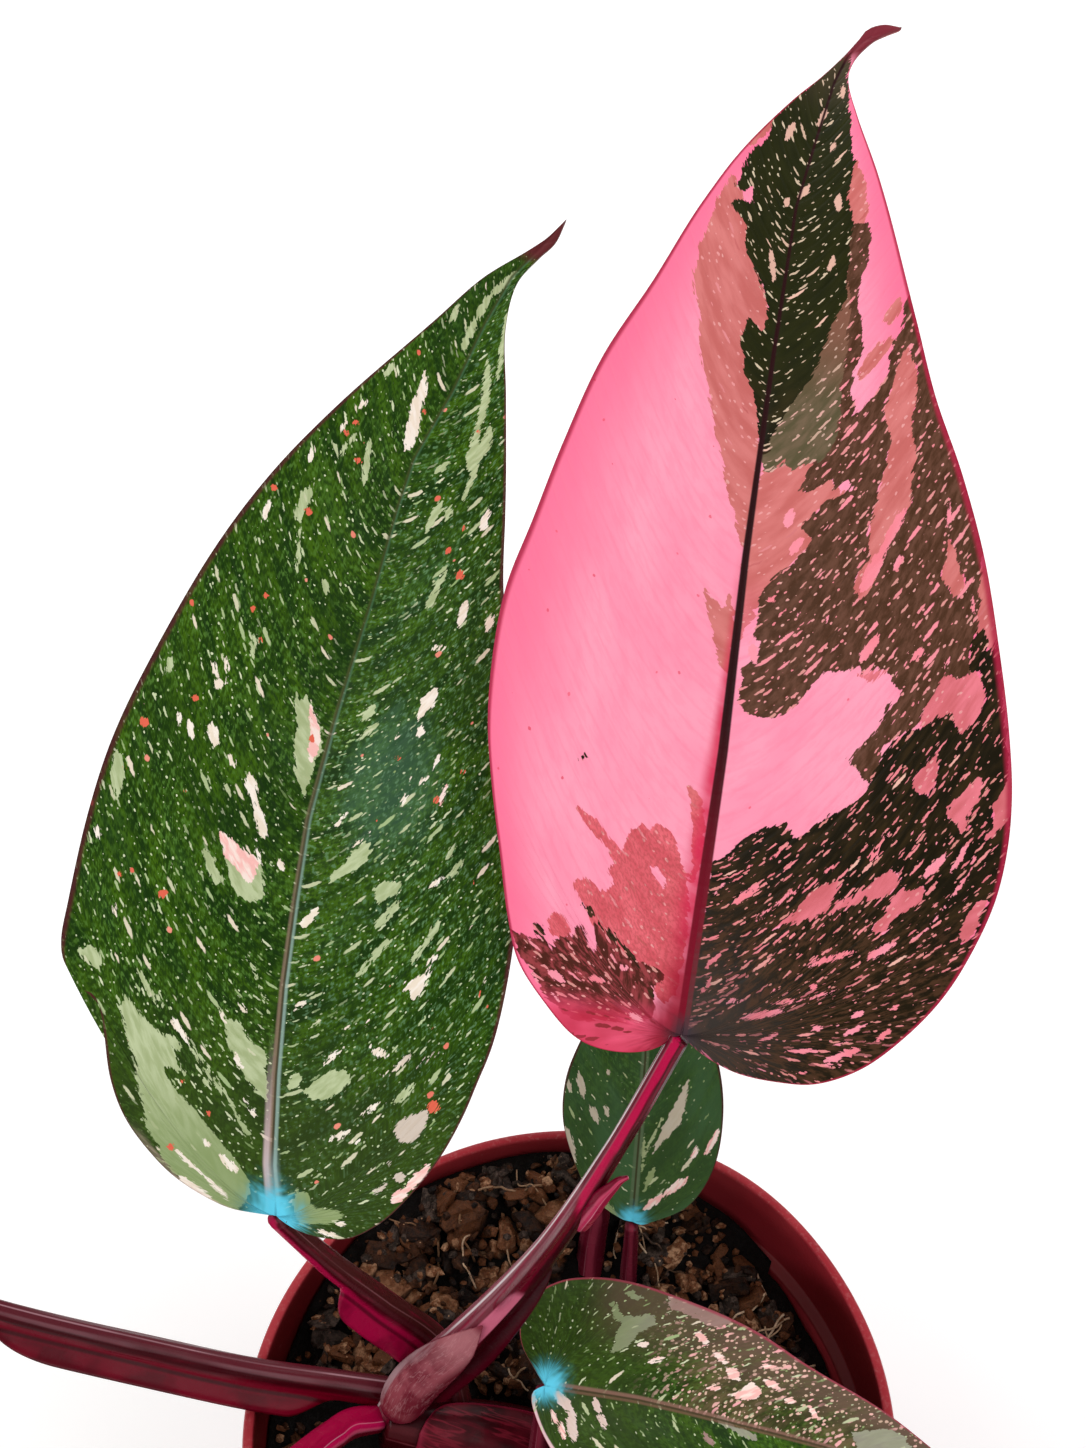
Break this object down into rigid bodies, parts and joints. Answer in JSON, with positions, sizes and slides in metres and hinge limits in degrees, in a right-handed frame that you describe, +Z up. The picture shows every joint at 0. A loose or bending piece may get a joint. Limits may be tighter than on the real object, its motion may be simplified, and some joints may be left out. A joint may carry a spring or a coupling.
{
  "type": "potted philodendron",
  "caption": "Potted aroid house plant with large pink and dark green variegated heart-shaped leaves on red winged stalks, in a round red plastic nursery pot.",
  "frame": {"origin": "centre of the pot's flat base, on the surface that the pot stands on", "axes": "+Z up along the pot's axis; +Y the way the two large leaves lean, away from the viewer of the picture; +X to that viewer's right, along the length of the object's longest reach"},
  "size_m": [0.361, 0.2662, 0.2977],
  "materials": {
    "pot_plastic": "satin",
    "bark_soil": "matte",
    "stem_skin": "satin",
    "dark_sheath": "satin",
    "pale_sheath": "satin",
    "bright_stalk": "gloss",
    "pink_stalk": "satin",
    "stalk_a": "gloss",
    "dark_stalk": "gloss",
    "leaf_pink": "satin",
    "leaf_green": "satin"
  },
  "bodies": {
    "root": {"pot": "pot_plastic", "soil": "bark_soil", "stem": "stem_skin", "old_sheath": "dark_sheath", "cataphyll_a": "pale_sheath", "new_leaf_spike": "bright_stalk", "side_shoot": "pink_stalk", "petiole_a": "stalk_a", "petiole_b": "dark_stalk", "petiole_c": "dark_stalk", "petiole_d": "pink_stalk", "petiole_f": "pink_stalk", "leaf_a": "leaf_pink", "leaf_b": "leaf_green", "leaf_c": "leaf_green", "leaf_d": "leaf_green", "leaf_f": "leaf_green"}
  },
  "joints": []
}
